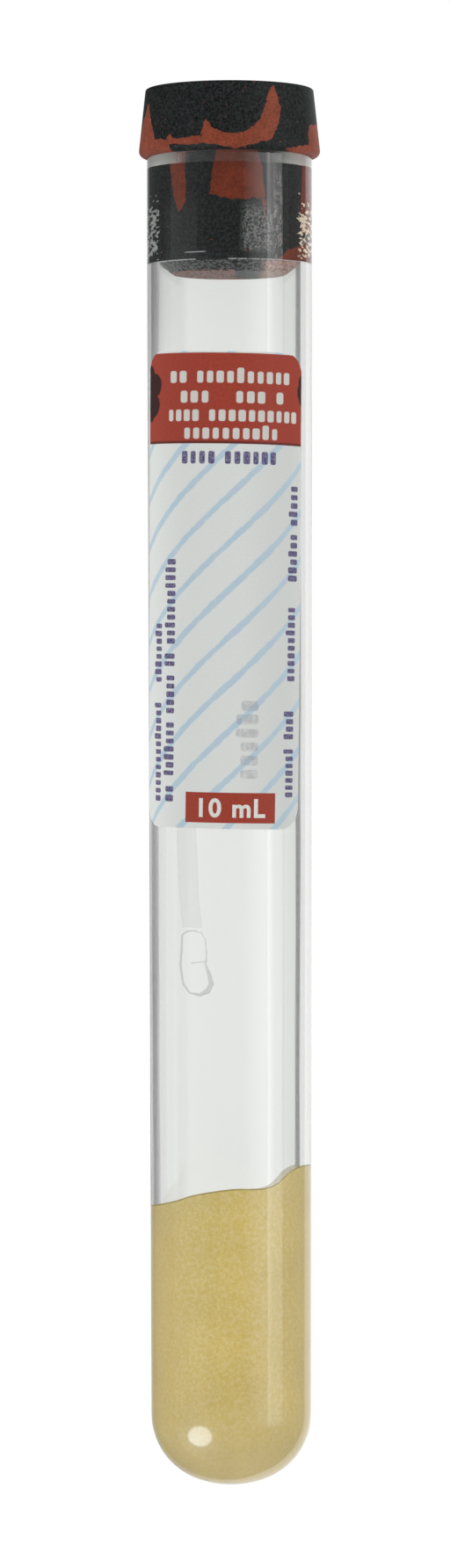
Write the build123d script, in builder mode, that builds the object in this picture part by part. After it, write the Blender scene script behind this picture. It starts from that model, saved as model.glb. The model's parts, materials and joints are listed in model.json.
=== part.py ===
from build123d import *
from math import acos, asin, atan2, cos, degrees, hypot, radians, sin, sqrt, tan
import os

# Evacuated blood collection tube, 10 mL size, lying on its side. Millimetres.
# +Z is up and +Y runs from the round end towards the stopper. The origin is the middle
# of the bounding box at floor level. A station is a distance from the rim towards the
# round end, along the tube's own axis.

# Tube
tube_length = 125.0
neck_radius = 7.77
neck_length = 18.0
side_taper = 0.23
wall = 1.05
knuckle_centre = 1.14
crown_radius = 9.6
rim_round = 0.25
rest_flat = 0.08
lead_in_depth = 1.1
lead_in_width = 0.4

# Stopper
head_height = 6.4
head_overhang = 0.76
head_lip_radius = 0.6
head_lean = 6.2
head_edge_radius = 0.2
plug_length = 10.1
plug_chamfer_height = 0.95
plug_chamfer_width = 1.39
plug_clearance = 0.03
well_radius = 3.7
well_depth = 2.2
well_floor_radius = 0.5

# Label
label_thickness = 0.1
label_clearance = 0.02
label_top = 18.84
label_height = 44.1
label_from = -75.0
label_to = 60.0
label_corner = 2.3
label_slant = 0.025

# Separator gel: its depth on the axis, and how far its surface dips at places across the bore
gel_clearance = 0.02
gel_depth = 27.75
gel_surface = [
    (-6.9, 1.5),
    (-4.9, 1.02),
    (-3.3, 0.48),
    (0.0, -0.05),
    (2.9, -0.16),
    (4.1, -0.66),
    (5.0, -1.6),
    (5.8, -2.16),
    (6.8, -2.45),
]
gel_surface_lean = 6.3

# Activator run: a thin streak that ends in a thick drop, on the wall beside run_angle
run_clearance = 0.02
run_angle = -32.0
run_top = 60.5
run_neck_station = 72.2
run_end = 78.5
run_width = 2.3
streak_thickness = 0.1
drop_thickness = 0.32
drop_ramp = 1.0
drop_left = 1.25
drop_right = 1.6
drop_bulge = 2.15

# Rest pose: the head's lip and a small flat under the tail's knuckle touch the floor, so the
# axis leans a little. The flat keeps the tube from rolling.
head_radius = neck_radius + head_overhang
knuckle_radius = neck_radius - side_taper - knuckle_centre
crown_station = tube_length - crown_radius
knuckle_station = crown_station + sqrt((crown_radius - knuckle_radius) ** 2 - knuckle_centre**2)
knuckle_end = degrees(atan2(knuckle_station - crown_station, knuckle_centre))
lip_centre = head_radius - head_lip_radius
lean_run = knuckle_station + head_lip_radius
lean_rise = lip_centre - knuckle_centre
knuckle_reach = knuckle_radius - rest_flat
lean_offset = head_lip_radius - knuckle_reach
rest_lean = asin(lean_offset / hypot(lean_run, lean_rise)) + atan2(lean_rise, lean_run)
rim_z = knuckle_station * sin(rest_lean) + knuckle_centre * cos(rest_lean) + knuckle_reach

# Head profile: the side is tangent to the lip's arc and to the top edge's arc
edge_height = head_height - head_edge_radius
edge_drop = (edge_height - head_lip_radius) * sin(radians(head_lean))
edge_centre = lip_centre + (head_lip_radius - head_edge_radius - edge_drop) / cos(radians(head_lean))
head_reach = edge_height * cos(rest_lean) + edge_centre * sin(rest_lean) + head_edge_radius
tail_reach = crown_station * cos(rest_lean) + crown_radius
rim_y = (tail_reach - head_reach) / 2

# The side plane holds the tube's axis: its x is across, and its y runs along the axis to the stopper
rim_point = Vector(0, rim_y, rim_z)
axis_direction = Vector(0, cos(rest_lean), sin(rest_lean))
side_normal = Vector(0, -sin(rest_lean), cos(rest_lean))
tube_axis = Axis(rim_point, axis_direction)
side_plane = Plane(origin=rim_point, x_dir=(1, 0, 0), z_dir=side_normal)


def turned(angle):
    """The side plane turned about the tube's axis, so that its x points to this angle from the top."""
    across = Vector(sin(radians(angle)), 0, 0) + side_normal * cos(radians(angle))
    return Plane(origin=rim_point, x_dir=across, z_dir=across.cross(axis_direction))


def facing(angle, station=0.0):
    """A plane through the axis that looks out at this angle from the top, x to the right."""
    out = Vector(sin(radians(angle)), 0, 0) + side_normal * cos(radians(angle))
    origin = rim_point - axis_direction * station
    return Plane(origin=origin, x_dir=axis_direction.cross(out), z_dir=out)


def side_lean(inset):
    """Degrees by which the side below the neck closes in, at this depth under the outside."""
    across = neck_radius - inset - knuckle_centre
    down = knuckle_station - neck_length
    return degrees(acos((knuckle_radius - inset) / hypot(across, down)) - atan2(down, across))


def radius_at(station, inset):
    """Radius at this depth under the tube's outside, at a station on the neck or the side."""
    below_neck = max(station - neck_length, 0)
    return neck_radius - inset - below_neck * tan(radians(side_lean(inset)))


def tube_outline(inset):
    """Closed half section of the tube's outside, moved in by inset, from the rim to the bottom."""
    lean = side_lean(inset)
    radius = neck_radius - inset
    neck = Line((radius, 0), (radius, -neck_length))
    knuckle_middle = (knuckle_centre, -knuckle_station)
    knuckle = CenterArc(knuckle_middle, knuckle_radius - inset, -lean, lean - knuckle_end)
    Line(neck @ 1, knuckle @ 0)
    crown = CenterArc((0, -crown_station), crown_radius - inset, -90, 90 - knuckle_end)
    Polyline(crown @ 0, (0, 0), neck @ 0)


# Tube: one moulding, open at the rim, with a flared lead-in for the plug and a flat to rest on
with BuildPart() as tube_body:
    with BuildSketch(side_plane):
        with BuildLine():
            tube_outline(0)
        make_face()
    revolve(axis=tube_axis)
    rim_edge = tube_body.edges().filter_by(GeomType.CIRCLE).sort_by(tube_axis)[-1]
    fillet(rim_edge, rim_round)
    with BuildSketch(side_plane):
        with BuildLine():
            tube_outline(wall)
        make_face()
    revolve(axis=tube_axis, mode=Mode.SUBTRACT)
    bore_radius = neck_radius - wall
    with BuildSketch(side_plane):
        Polygon(
            (0, 0),
            (bore_radius + lead_in_width, 0),
            (bore_radius, -lead_in_depth),
            (0, -lead_in_depth),
            align=None,
        )
    revolve(axis=tube_axis, mode=Mode.SUBTRACT)
    with BuildSketch(Plane.XY):
        Rectangle(2 * head_radius, 2 * tube_length)
    extrude(amount=-neck_radius, mode=Mode.SUBTRACT)

# Stopper: a leaning head over a plug that fills the bore, with a needle well in the top
plug_radius = bore_radius - plug_clearance
plug_end = plug_length + plug_chamfer_height
plug_end_radius = plug_radius - plug_chamfer_width
with BuildPart() as stopper:
    with BuildSketch(side_plane):
        with BuildLine():
            lip = CenterArc((lip_centre, head_lip_radius), head_lip_radius, -90, 90 + head_lean)
            edge_middle = (edge_centre, edge_height)
            edge = CenterArc(edge_middle, head_edge_radius, head_lean, 90 - head_lean)
            Line(lip @ 1, edge @ 0)
            Polyline(
                edge @ 1,
                (0, head_height),
                (0, -plug_end),
                (plug_end_radius, -plug_end),
                (plug_radius, -plug_length),
                (plug_radius, 0),
                lip @ 0,
            )
        make_face()
    revolve(axis=tube_axis)
    with BuildSketch(side_plane):
        with BuildLine():
            well_floor = head_height - well_depth
            corner_middle = (well_radius - well_floor_radius, well_floor + well_floor_radius)
            corner = CenterArc(corner_middle, well_floor_radius, -90, 90)
            Polyline(
                corner @ 1,
                (well_radius, head_height),
                (0, head_height),
                (0, well_floor),
                corner @ 0,
            )
        make_face()
    revolve(axis=tube_axis, mode=Mode.SUBTRACT)

# Label: a thin strip that follows the side, slanted at both ends, with round corners
label_inner = label_clearance + label_thickness
label_bottom = label_top + label_height
label_spare = label_slant * neck_radius + label_corner
strip_top = label_top - label_spare
strip_bottom = label_bottom + label_spare
label_middle_radius = radius_at(label_top + label_height / 2, -label_inner)
corner_turn = degrees(label_corner / label_middle_radius)
corner_reach = label_middle_radius * sin(radians(corner_turn))
with BuildPart() as label:
    with BuildSketch(turned(label_from)):
        Polygon(
            (neck_radius + label_clearance, -strip_top),
            (neck_radius + label_inner, -strip_top),
            (neck_radius + label_inner, -neck_length),
            (radius_at(strip_bottom, 0) + label_inner, -strip_bottom),
            (radius_at(strip_bottom, 0) + label_clearance, -strip_bottom),
            (neck_radius + label_clearance, -neck_length),
            align=None,
        )
    revolve(axis=tube_axis, revolution_arc=label_to - label_from)
    across = neck_radius + label_spare
    with BuildSketch(side_plane):
        Polygon(
            (-across, -label_top + label_slant * across),
            (across, -label_top - label_slant * across),
            (across, -label_bottom - label_slant * across),
            (-across, -label_bottom + label_slant * across),
            align=None,
        )
    extrude(amount=across, both=True, mode=Mode.INTERSECT)
    for side, angle in ((-1, label_from + corner_turn), (1, label_to - corner_turn)):
        slant_here = label_slant * label_middle_radius * sin(radians(angle))
        for end, station in ((1, label_top + corner_reach), (-1, label_bottom - corner_reach)):
            with BuildSketch(facing(angle, station + slant_here)):
                with Locations((side * corner_reach, end * corner_reach)):
                    Rectangle(2 * corner_reach, 2 * corner_reach)
                Circle(corner_reach, mode=Mode.SUBTRACT)
            extrude(amount=2 * neck_radius, mode=Mode.SUBTRACT)

# Separator gel: fills the round end up to a surface that slopes across and towards the top
with BuildPart() as separator_gel:
    with BuildSketch(side_plane):
        with BuildLine():
            tube_outline(wall + gel_clearance)
        make_face()
    revolve(axis=tube_axis)
    lean_out = radians(gel_surface_lean)
    cut_direction = side_normal * cos(lean_out) + axis_direction * sin(lean_out)
    cut_plane = Plane(origin=rim_point, x_dir=(1, 0, 0), z_dir=cut_direction)
    gel_station = tube_length - gel_depth
    with BuildSketch(cut_plane):
        with BuildLine():
            surface = Spline([(place, -(gel_station + dip) * cos(lean_out)) for place, dip in gel_surface])
            reach = neck_radius + (surface @ 1).X
            Polyline(
                surface @ 1,
                (reach, (surface @ 1).Y),
                (reach, neck_radius),
                (-reach, neck_radius),
                (-reach, (surface @ 0).Y),
                surface @ 0,
            )
        make_face()
    extrude(amount=3 * neck_radius, both=True, mode=Mode.SUBTRACT)

# Activator run: a film on the bore, cut to the streak and to the drop at its end
film_inset = wall + run_clearance
film_spare = 0.5
run_bottom = run_end + film_spare
ramp_end = run_neck_station + drop_ramp
film_turn = degrees(2 * drop_bulge / bore_radius)
with BuildPart() as activator_run:
    with BuildSketch(turned(run_angle - film_turn)):
        Polygon(
            (radius_at(run_top, film_inset), -run_top),
            (radius_at(run_bottom, film_inset), -run_bottom),
            (radius_at(run_bottom, film_inset + drop_thickness), -run_bottom),
            (radius_at(ramp_end, film_inset + drop_thickness), -ramp_end),
            (radius_at(run_neck_station, film_inset + streak_thickness), -run_neck_station),
            (radius_at(run_top, film_inset + streak_thickness), -run_top),
            align=None,
        )
    revolve(axis=tube_axis, revolution_arc=2 * film_turn)
    with BuildSketch(facing(run_angle)):
        with BuildLine():
            streak_left = Line((-run_width * 0.75, -run_top), (-run_width / 2, -run_neck_station))
            drop = Spline(
                streak_left @ 1,
                (-drop_left, -run_neck_station - 2.2),
                (-drop_left * 0.92, -run_end + 1.9),
                (0.3, -run_end),
                (drop_right, -run_end + 0.45),
                (drop_bulge, -run_end + 1.25),
                (drop_right, -run_end + 2.3),
                (run_width / 2, -run_neck_station),
            )
            Polyline(drop @ 1, (run_width * 0.25, -run_top), streak_left @ 0)
        make_face()
    extrude(amount=neck_radius, mode=Mode.INTERSECT)

pieces = {
    "tube_body": tube_body,
    "stopper": stopper,
    "label": label,
    "separator_gel": separator_gel,
    "activator_run": activator_run,
}

os.makedirs("parts", exist_ok=True)
for piece_name, piece in pieces.items():
    piece.part.label = piece_name
    export_step(piece.part, f"parts/{piece_name}.step")

print("axis lean, degrees:", round(degrees(rest_lean), 4))
print("rim centre:", [round(v, 4) for v in rim_point])
print("axis direction:", [round(v, 7) for v in axis_direction])
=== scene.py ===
"""Evacuated blood collection tube: clear wall, marbled rubber stopper, wrapped label, gel and a dried run."""

import json
from math import acos, asin, atan2, ceil, cos, degrees, hypot, pi, radians, sin, sqrt, tan

import bmesh
import bpy
from bpy.props import FloatProperty, FloatVectorProperty, PointerProperty
from mathutils import Matrix, Vector


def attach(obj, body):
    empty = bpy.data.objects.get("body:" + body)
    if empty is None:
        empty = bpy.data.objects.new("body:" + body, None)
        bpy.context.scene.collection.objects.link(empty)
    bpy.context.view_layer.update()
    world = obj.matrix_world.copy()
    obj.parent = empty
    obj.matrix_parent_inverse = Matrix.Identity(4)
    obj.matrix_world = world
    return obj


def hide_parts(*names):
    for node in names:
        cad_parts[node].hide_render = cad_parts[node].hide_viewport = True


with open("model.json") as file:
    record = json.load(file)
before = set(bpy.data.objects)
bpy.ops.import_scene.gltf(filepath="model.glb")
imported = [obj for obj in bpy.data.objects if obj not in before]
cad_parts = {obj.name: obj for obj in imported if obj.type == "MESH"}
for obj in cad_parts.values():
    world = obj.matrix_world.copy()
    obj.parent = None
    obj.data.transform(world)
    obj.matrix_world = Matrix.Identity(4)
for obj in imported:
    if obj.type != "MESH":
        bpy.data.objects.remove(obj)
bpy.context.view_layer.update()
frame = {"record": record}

bl_info = {
    "name": "Blood collection tube",
    "version": (1, 0, 0),
    "blender": (4, 5, 0),
    "location": "3D View > Sidebar > Tube",
    "description": "Builds a clear collection tube with its stopper, label, gel and dried run",
    "category": "Object",
}

MM = 0.001
ROUND_STEPS = 128
ROUND_END_STEPS = 14
# Points closer than this are merged
MERGE = 0.002 * MM
# How far the stopper and the gel reach into the wall, so that no air shows between them
TOUCH = 0.008 * MM
LABEL_UV = "print_mm"

# The tube's axis, from the frame: local +Y runs along it towards the stopper, with 0 at the rim
mounts = {mount["name"]: mount for mount in frame["record"]["mounts"]}
neck = mounts["neck_land"]
NECK_RADIUS = neck["dims"]["r_mm"] * MM
RIM_ROUND = 0.25 * MM
down_axis = Vector(neck["axis"])
RIM = Vector(neck["pos_m"]) - down_axis * (RIM_ROUND + neck["dims"]["length_mm"] * MM / 2)
LEAN = asin(-down_axis.z)
TO_FRAME = Matrix.Translation(RIM) @ Matrix.Rotation(LEAN, 4, "X")


def size(label, millimetres, text):
    """A length that a user can set, given in millimetres."""
    return FloatProperty(
        name=label, description=text, default=millimetres * MM, unit="LENGTH", subtype="DISTANCE", precision=5
    )


def turn(label, value, text):
    """An angle that a user can set, given in degrees."""
    return FloatProperty(name=label, description=text, default=radians(value), subtype="ANGLE")


def amount(label, value, text):
    """A plain number that a user can set."""
    return FloatProperty(name=label, description=text, default=value)


def colour(label, value, text):
    """A colour that a user can set."""
    return FloatVectorProperty(name=label, description=text, default=value, subtype="COLOR", min=0, max=1)


class TubeSizes(bpy.types.PropertyGroup):
    """Sizes of the clear moulding and the gel in it."""

    length: size("Length", 125, "Rim to round end")
    neck_radius: size("Neck radius", NECK_RADIUS / MM, "Outside radius of the straight neck")
    neck_length: size("Neck length", 18, "Length of the straight neck")
    taper: size("Side taper", 0.23, "How much smaller the radius is at the round end")
    wall: size("Wall", 1.05, "Thickness of the wall")
    knuckle_centre: size("Knuckle centre", 1.14, "Distance of the knuckle arc's centre from the axis")
    crown_radius: size("Crown radius", 9.6, "Outside radius of the round end's middle")
    flare_depth: size("Flare depth", 1.1, "Depth of the flared mouth")
    flare_width: size("Flare width", 0.4, "How far the mouth flares")
    gel_depth: size("Gel depth", 27.75, "Height of the gel on the axis")
    gel_lean: turn("Gel lean", 6.3, "Lean of the gel's surface towards the label's side")


class StopperSizes(bpy.types.PropertyGroup):
    """Sizes of the rubber stopper."""

    head_height: size("Head height", 6.4, "Height of the head above the rim")
    overhang: size("Overhang", 0.76, "How far the head stands out past the neck")
    lip_radius: size("Lip radius", 0.6, "Radius of the head's lower lip")
    lean: turn("Head lean", 6.2, "Lean of the head's side")
    edge_radius: size("Edge radius", 0.2, "Radius of the head's top edge")
    plug_length: size("Plug length", 10.1, "Rim to the plug's chamfer")
    chamfer_height: size("Chamfer height", 0.95, "Height of the plug's chamfer")
    chamfer_width: size("Chamfer width", 1.39, "Width of the plug's chamfer")
    well_radius: size("Well radius", 3.7, "Radius of the needle well")
    well_depth: size("Well depth", 2.2, "Depth of the needle well")
    well_floor_radius: size("Well floor radius", 0.5, "Radius in the corner of the well's floor")


class LabelSizes(bpy.types.PropertyGroup):
    """Sizes of the wrapped label and its print."""

    left: size("Left edge", -10.1, "Left edge, from the print's centre line")
    right: size("Right edge", 7.6, "Right edge, from the print's centre line")
    height: size("Height", 44.28, "Height of the label")
    middle: size("Middle", 40.82, "Rim to the label's middle")
    turn: turn("Turn", 1.05, "How far the label is turned on the tube")
    corner: size("Corner", 2.3, "Radius of the corners")
    thickness: size("Thickness", 0.1, "Thickness of the paper")
    clearance: size("Clearance", 0.02, "Gap between the paper and the wall")
    figure_height: size("Figure height", 1.66, "Height of the capacity figure")


class Finishes(bpy.types.PropertyGroup):
    """Colours of the finishes."""

    rubber_dark: colour("Dark rubber", (0.0100, 0.0118, 0.0115), "Near-black part of the stopper")
    rubber_red: colour("Red rubber", (0.238, 0.053, 0.026), "Red-brown marbling of the stopper")
    clear: colour("Clear wall", (0.955, 0.965, 0.95), "Tint of the clear moulding")
    # painted shade: the tint of the grey bands that stand in for dark lines in the clear wall
    edge: colour("Wall edge", (0.02, 0.02, 0.025), "Tint of the grey bands drawn along the wall")
    gel: colour("Gel", (0.72, 0.56, 0.185), "Separator gel")
    paper: colour("Paper", (0.75, 0.775, 0.75), "Label paper")
    header: colour("Header", (0.36, 0.056, 0.036), "Red of the label's header and capacity box")
    blotch: colour("Blotch", (0.052, 0.024, 0.022), "Dark scalloped patches and the line under the header")
    stripe: colour("Stripe", (0.47, 0.62, 0.71), "Slanted stripes of the paper")
    ink: colour("Ink", (0.095, 0.07, 0.19), "Violet of the small print marks")
    stamp: colour("Stamp", (0.34, 0.34, 0.36), "Grey of the stamped marks")
    run: colour("Run", (0.98, 0.975, 0.955), "Dried film on the bore")


class StageSettings(bpy.types.PropertyGroup):
    """Lights, floor and camera."""

    camera_height: size("Camera height", 449, "Camera above the tube's axis")
    camera_y: size("Camera along", 7.9, "Camera's place along the tube")
    camera_x: size("Camera across", -0.50, "Camera's place across the tube")
    roll: turn("Camera roll", -0.085, "How far the camera is turned about its line of sight")
    lens: amount("Lens", 109.3, "Focal length in millimetres")
    shift: amount("Shift", -0.0515, "Upright shift of the lens")
    overhead: amount("Overhead", 0.11, "Strength of the room's light from above")
    level: amount("Level", 0.38, "Strength of the room's light from the sides")
    key: amount("Key", 3.55, "Power of each of the four soft lights")
    window: amount("Window", 2.35, "Brightness of the window on the right")
    lamp: amount("Lamp", 6.2, "Brightness of the oval lamp")


# Modelling


def new_object(name, bm, finishes, sharp=35.0):
    """Merges, turns the faces outwards, moves the mesh into the frame and makes its object."""
    bmesh.ops.remove_doubles(bm, verts=bm.verts, dist=MERGE)
    bmesh.ops.recalc_face_normals(bm, faces=bm.faces)
    bmesh.ops.transform(bm, matrix=TO_FRAME, verts=bm.verts)
    for face in bm.faces:
        face.smooth = True
    for edge in bm.edges:
        if len(edge.link_faces) == 2 and edge.calc_face_angle(0) > radians(sharp):
            edge.smooth = False
    mesh = bpy.data.meshes.new(name)
    bm.to_mesh(mesh)
    bm.free()
    for finish in finishes:
        mesh.materials.append(finish)
    piece = bpy.data.objects.new(name, mesh)
    bpy.context.scene.collection.objects.link(piece)
    return piece


class Section:
    """A half section drawn point by point in the plane of the axis, then spun round it."""

    def __init__(self, bm, radius, along):
        self.bm = bm
        self.last = bm.verts.new((radius, along, 0))

    def line(self, radius, along, cuts=0):
        """A straight run to this radius and place along the axis."""
        start = self.last.co.copy()
        for k in range(1, cuts + 2):
            place = start.lerp(Vector((radius, along, 0)), k / (cuts + 1))
            point = self.bm.verts.new(place)
            self.bm.edges.new((self.last, point))
            self.last = point

    def arc(self, radius, along, angle, steps):
        """An arc round this centre, by this angle in radians."""
        made = bmesh.ops.spin(
            self.bm, geom=[self.last], cent=(radius, along, 0), axis=(0, 0, 1), angle=angle, steps=steps
        )
        self.last = made["geom_last"][0]

    def revolve(self, steps=ROUND_STEPS):
        """A full turn round the axis."""
        geom = self.bm.verts[:] + self.bm.edges[:]
        bmesh.ops.spin(
            self.bm, geom=geom, cent=(0, 0, 0), axis=(0, 1, 0), angle=2 * pi, steps=steps, use_merge=True
        )


def knuckle_of(sizes):
    """Radius, station and end angle of the knuckle, from the sizes of the round end."""
    radius = sizes.neck_radius - sizes.taper - sizes.knuckle_centre
    crown = sizes.length - sizes.crown_radius
    station = crown + sqrt((sizes.crown_radius - radius) ** 2 - sizes.knuckle_centre**2)
    return radius, station, atan2(station - crown, sizes.knuckle_centre)


def side_lean(sizes, inset):
    """Angle by which the side below the neck closes in, at this depth under the outside."""
    radius, station, _ = knuckle_of(sizes)
    across = sizes.neck_radius - inset - sizes.knuckle_centre
    down = station - sizes.neck_length
    return acos((radius - inset) / hypot(across, down)) - atan2(down, across)


def radius_at(sizes, station, inset):
    """Radius at this depth under the outside, at a station on the neck or the side."""
    below = max(station - sizes.neck_length, 0)
    return sizes.neck_radius - inset - below * tan(side_lean(sizes, inset))


def round_end(section, sizes, inset, upwards):
    """The crown and knuckle arcs of a section: up from the pole, or down to it."""
    radius, station, end = knuckle_of(sizes)
    lean = side_lean(sizes, inset)
    crown = -(sizes.length - sizes.crown_radius)
    short_run = 0.25 * MM
    side = (radius_at(sizes, station - short_run, inset), -station + short_run)
    if upwards:
        section.arc(0, crown, pi / 2 - end, ROUND_END_STEPS)
        section.arc(sizes.knuckle_centre, -station, end - lean, ROUND_END_STEPS)
        section.line(*side)
        return
    section.line(*side, cuts=14)
    place = (sizes.knuckle_centre + (radius - inset) * cos(lean), -station - (radius - inset) * sin(lean))
    section.line(*place)
    section.arc(sizes.knuckle_centre, -station, lean - end, ROUND_END_STEPS)
    section.arc(0, crown, end - pi / 2, ROUND_END_STEPS)


def wrap(point, radius):
    """A point of the unrolled side (across, station, depth) on the tube, at this radius plus its depth."""
    angle = point[0] / radius
    reach = radius + point[2]
    return Vector((reach * sin(angle), -point[1], reach * cos(angle)))


def cut(bm, place, normal, reach=1e-7):
    """Cuts every face that this plane passes through."""
    geom = bm.verts[:] + bm.edges[:] + bm.faces[:]
    bmesh.ops.bisect_plane(bm, geom=geom, plane_co=place, plane_no=normal, dist=reach)


def slice_sheet(bm, step, lowest, highest):
    """Cuts a flat sheet along the tube, so that it can be wrapped."""
    for k in range(1, ceil((highest - lowest) / step)):
        cut(bm, (lowest + k * step, 0, 0), (1, 0, 0))


# Finishes


class Nodes:
    """Adds and links the nodes of one finish, light or room."""

    def __init__(self, owner):
        owner.use_nodes = True
        self.owner = owner
        self.tree = owner.node_tree

    def add(self, kind, inputs=None, **settings):
        """A node, its settings, and its inputs as values or sockets."""
        node = self.tree.nodes.new(kind)
        for key, value in settings.items():
            setattr(node, key, value)
        for key, value in (inputs or {}).items():
            self.feed(node.inputs[key], value)
        return node

    def feed(self, socket, value):
        """Links a socket, or sets it."""
        if isinstance(value, bpy.types.NodeSocket):
            self.tree.links.new(value, socket)
        elif socket.type == "RGBA" and len(value) == 3:
            socket.default_value = (*value, 1)
        else:
            socket.default_value = value

    def math(self, operation, first, second=0.0, third=0.0):
        """A Math node's result."""
        inputs = {0: first, 1: second, 2: third}
        return self.add("ShaderNodeMath", inputs, operation=operation).outputs[0]

    def chain(self, operation, values):
        """Several values taken together, one after another."""
        result = values[0]
        for value in values[1:]:
            result = self.math(operation, result, value)
        return result

    def times(self, *values):
        """The product of several values."""
        return self.chain("MULTIPLY", values)

    def plus(self, *values):
        """The sum of several values."""
        return self.chain("ADD", values)

    def largest(self, *values):
        """The largest of several values."""
        return self.chain("MAXIMUM", values)

    def smallest(self, *values):
        """The smallest of several values."""
        return self.chain("MINIMUM", values)

    def minus(self, first, second):
        """The first value less the second."""
        return self.math("SUBTRACT", first, second)

    def rest(self, value):
        """What a value leaves of 1."""
        return self.math("SUBTRACT", 1.0, value)

    def absolute(self, value):
        """A value without its sign."""
        return self.math("ABSOLUTE", value)

    def above(self, value, limit):
        """1 where a value is above a limit, 0 elsewhere."""
        return self.math("GREATER_THAN", value, limit)

    def below(self, value, limit):
        """1 where a value is below a limit, 0 elsewhere."""
        return self.math("LESS_THAN", value, limit)

    def step(self, value, low, high):
        """0 below low, 1 above high, smooth between."""
        inputs = {"Value": value, "From Min": low, "From Max": high, "To Min": 0.0, "To Max": 1.0}
        return self.add("ShaderNodeMapRange", inputs, interpolation_type="SMOOTHSTEP").outputs[0]

    def band(self, value, start, full, fading, end):
        """0 below start, 1 from full to fading, 0 above end, smooth between."""
        return self.smallest(self.step(value, start, full), self.rest(self.step(value, fading, end)))

    def scaled(self, value, low, high, to_low, to_high):
        """A value moved from one range to another, kept inside it."""
        inputs = {"Value": value, "From Min": low, "From Max": high, "To Min": to_low, "To Max": to_high}
        return self.add("ShaderNodeMapRange", inputs).outputs[0]

    def spread(self, value, to_low, to_high):
        """The middle part of a noise, from 0.3 to 0.7, moved to another range."""
        return self.scaled(value, 0.3, 0.7, to_low, to_high)

    def noise(self, vector, scale, detail=3.0, roughness=0.55):
        """A Noise node's value."""
        inputs = {"Vector": vector, "Scale": scale, "Detail": detail, "Roughness": roughness}
        return self.add("ShaderNodeTexNoise", inputs).outputs["Fac"]

    def mix(self, share, first, second):
        """A mix of two colours."""
        node = self.add("ShaderNodeMix", data_type="RGBA")
        self.feed(node.inputs[0], share)
        self.feed(node.inputs[6], first)
        self.feed(node.inputs[7], second)
        return node.outputs[2]

    def over(self, paint, colour, mask, share):
        """A colour laid over another where the mask is, by this share."""
        return self.mix(self.times(mask, share), paint, colour)

    def dim(self, paint, share):
        """A colour made darker or lighter by a factor."""
        return self.add("ShaderNodeVectorMath", {0: paint, 3: share}, operation="SCALE").outputs[0]

    def vector(self, x, y, z=0.0):
        """Three values as a vector."""
        return self.add("ShaderNodeCombineXYZ", {0: x, 1: y, 2: z}).outputs[0]

    def length(self, x, y):
        """The length of a flat vector with these two parts."""
        return self.add("ShaderNodeVectorMath", {0: self.vector(x, y)}, operation="LENGTH").outputs["Value"]

    def stretched(self, vector, scale):
        """A place with each of its directions scaled."""
        return self.add("ShaderNodeMapping", {"Vector": vector, "Scale": scale}).outputs[0]

    def parts(self, vector):
        """A vector's three values."""
        return self.add("ShaderNodeSeparateXYZ", {0: vector}).outputs

    def local(self):
        """Object coordinates in the tube's own directions, in millimetres from the rim."""
        place = self.add("ShaderNodeTexCoord").outputs["Object"]
        inputs = {"Vector": place, "Location": RIM, "Rotation": (LEAN, 0, 0), "Scale": (MM, MM, MM)}
        return self.add("ShaderNodeMapping", inputs, vector_type="TEXTURE").outputs[0]

    def bump(self, height, strength, distance):
        """A Bump node's normal, its distance in metres."""
        inputs = {"Height": height, "Strength": strength, "Distance": distance}
        return self.add("ShaderNodeBump", inputs).outputs[0]

    def surface(self, shader):
        """Links the shader that the finish shows."""
        self.add("ShaderNodeOutputMaterial", {"Surface": shader})
        return self.owner

    def blend(self, share, first, second):
        """A mix of two shaders."""
        return self.add("ShaderNodeMixShader", {0: share, 1: first, 2: second}).outputs[0]

    def clear(self, colour):
        """A shader that only lets light through, in this colour."""
        return self.add("ShaderNodeBsdfTransparent", {"Color": colour}).outputs[0]

    def principled(self, **inputs):
        """A Principled node, its inputs by name with _ for spaces."""
        named = {key.replace("_", " "): value for key, value in inputs.items()}
        return self.add("ShaderNodeBsdfPrincipled", named).outputs[0]


def finish_nodes(name):
    """The nodes of a new finish."""
    nodes = Nodes(bpy.data.materials.new(name))
    nodes.tree.nodes.clear()
    return nodes


def round_field(nodes, place):
    """The angle in degrees from the top towards +X, and the station, of a local place."""
    x, y, z = nodes.parts(place)
    angle = nodes.times(nodes.math("ARCTAN2", x, z), degrees(1))
    station = nodes.times(y, -1.0)
    return angle, station


def convex(nodes, point, corners):
    """How far inside a convex outline a point lies. Corners are (across, station), both in millimetres."""
    middle = Vector((sum(c[0] for c in corners), sum(c[1] for c in corners))) / len(corners)
    depth = None
    for a, b in zip(corners, corners[1:] + corners[:1]):
        out = Vector((b[1] - a[1], a[0] - b[0])).normalized()
        reach = out.dot(Vector(a))
        if out.dot(middle) > reach:
            out, reach = -out, -reach
        inputs = {0: point, 1: (-out.x, -out.y, reach)}
        side = nodes.add("ShaderNodeVectorMath", inputs, operation="DOT_PRODUCT").outputs["Value"]
        depth = side if depth is None else nodes.smallest(depth, side)
    return depth


# Degrees of turn taken as one millimetre across the stopper
DEGREES_PER_MM = 7.0
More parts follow.
